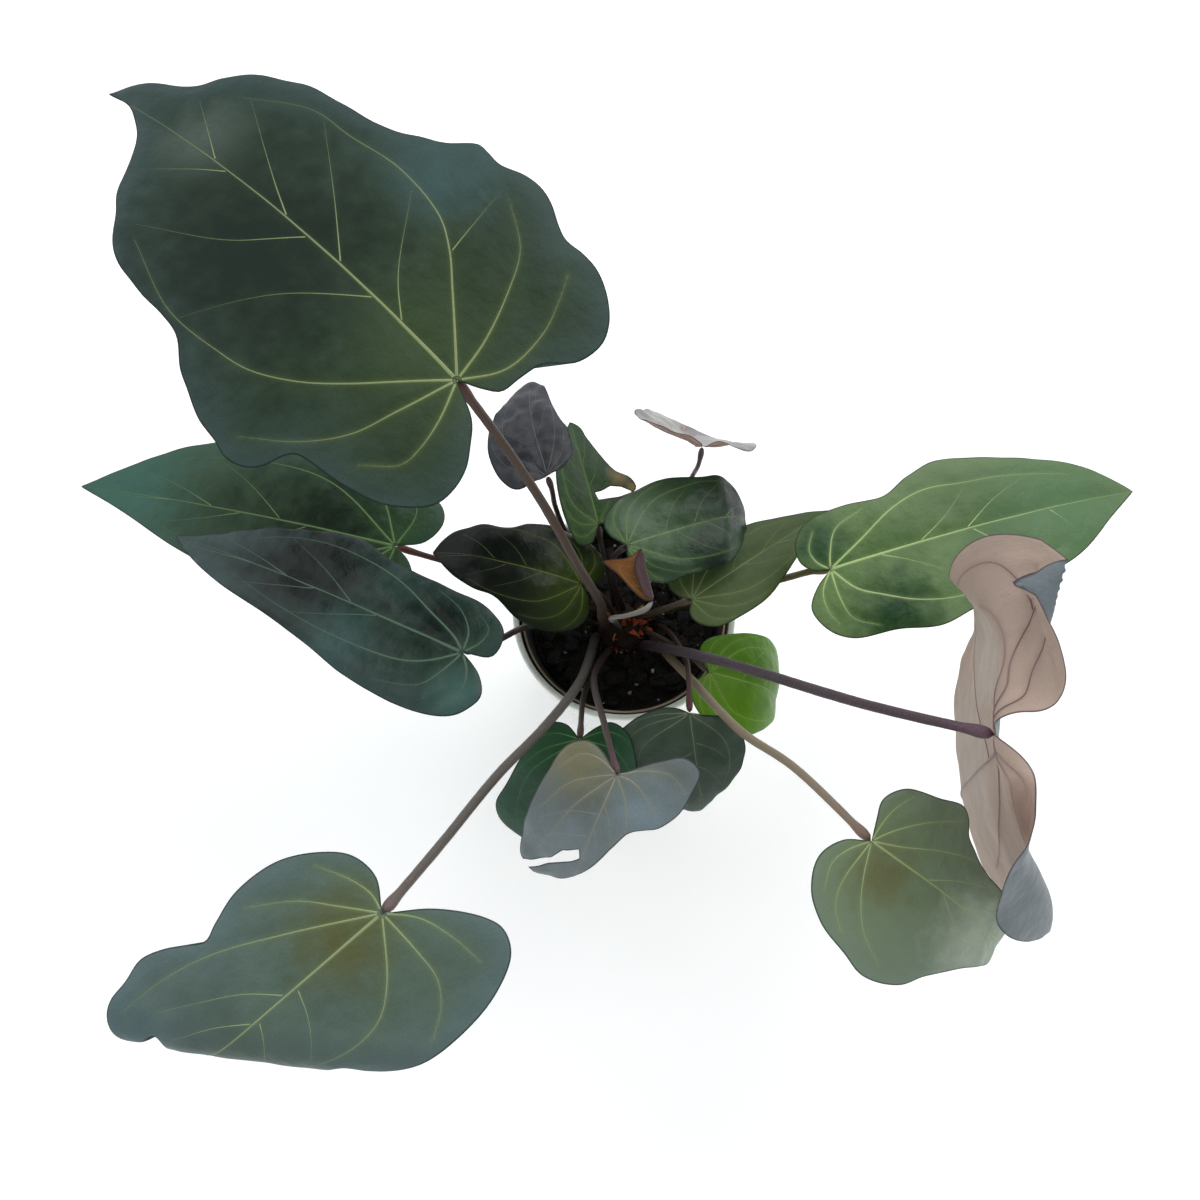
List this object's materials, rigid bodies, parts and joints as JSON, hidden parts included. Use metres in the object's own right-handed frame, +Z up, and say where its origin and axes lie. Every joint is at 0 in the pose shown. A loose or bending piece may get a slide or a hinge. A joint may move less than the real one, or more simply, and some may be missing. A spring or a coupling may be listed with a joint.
{
  "type": "potted anthurium hybrid",
  "caption": "Potted anthurium with broad velvety heart-shaped leaves on long petioles, in a black nursery pot inside a plain white glazed outer pot that stands on a flat foot.",
  "frame": {"origin": "middle of the outer pot's flat foot, on the surface it stands on", "axes": "+Z up along the pot's axis; the longest leaf leans back towards -X and +Y, and the hanging leaf is on the +X side"},
  "size_m": [0.6601, 0.5081, 0.3906],
  "materials": {
    "blade_01": "velvety satin, dark blue green",
    "blade_02": "velvety satin, grey green",
    "blade_03": "semi-gloss dark green",
    "blade_04": "glossy dark green",
    "blade_05": "dull purple grey",
    "blade_06": "satin green",
    "blade_07": "glossy green",
    "blade_08": "satin dull green",
    "blade_09": "satin mid green",
    "blade_10": "matt pinkish brown underside",
    "blade_11": "velvety satin grey green",
    "blade_12": "semi-gloss lime green",
    "blade_13": "satin very dark green",
    "blade_14": "satin grey green",
    "blade_15": "satin deep green",
    "blade_16": "velvety satin grey green",
    "blade_17": "pale sheen",
    "blade_18": "bronze, papery",
    "petiole_dark": "satin, brownish purple",
    "petiole_red": "satin, wine red",
    "petiole_tan": "satin, olive tan",
    "petiole_grey": "satin, pale grey",
    "stem": "rough, with papery orange brown fibres",
    "mix": "damp bark, charcoal and perlite",
    "nursery_plastic": "black, slightly shiny",
    "pot_glaze": "white glaze"
  },
  "bodies": {
    "root": {"leaf_01_blade": "blade_01", "leaf_01_petiole": "petiole_tan", "leaf_02_blade": "blade_02", "leaf_02_petiole": "petiole_dark", "leaf_03_blade": "blade_03", "leaf_03_petiole": "petiole_dark", "leaf_04_blade": "blade_04", "leaf_04_petiole": "petiole_dark", "leaf_05_blade": "blade_05", "leaf_05_petiole": "petiole_dark", "leaf_06_blade": "blade_06", "leaf_06_petiole": "petiole_dark", "leaf_07_blade": "blade_07", "leaf_07_petiole": "petiole_dark", "leaf_08_blade": "blade_08", "leaf_08_petiole": "petiole_tan", "leaf_09_blade": "blade_09", "leaf_09_petiole": "petiole_tan", "leaf_10_blade": "blade_10", "leaf_10_petiole": "petiole_dark", "leaf_11_blade": "blade_11", "leaf_11_petiole": "petiole_tan", "leaf_12_blade": "blade_12", "leaf_12_petiole": "petiole_tan", "leaf_13_blade": "blade_13", "leaf_13_petiole": "petiole_red", "leaf_14_blade": "blade_14", "leaf_14_petiole": "petiole_red", "leaf_15_blade": "blade_15", "leaf_15_petiole": "petiole_red", "leaf_16_blade": "blade_16", "leaf_16_petiole": "petiole_dark", "leaf_17_blade": "blade_17", "leaf_17_petiole": "petiole_dark", "leaf_18_blade": "blade_18", "leaf_18_petiole": "petiole_grey", "crown_stem": "stem", "potting_mix": "mix", "nursery_pot": "nursery_plastic", "outer_pot": "pot_glaze"}
  },
  "joints": []
}
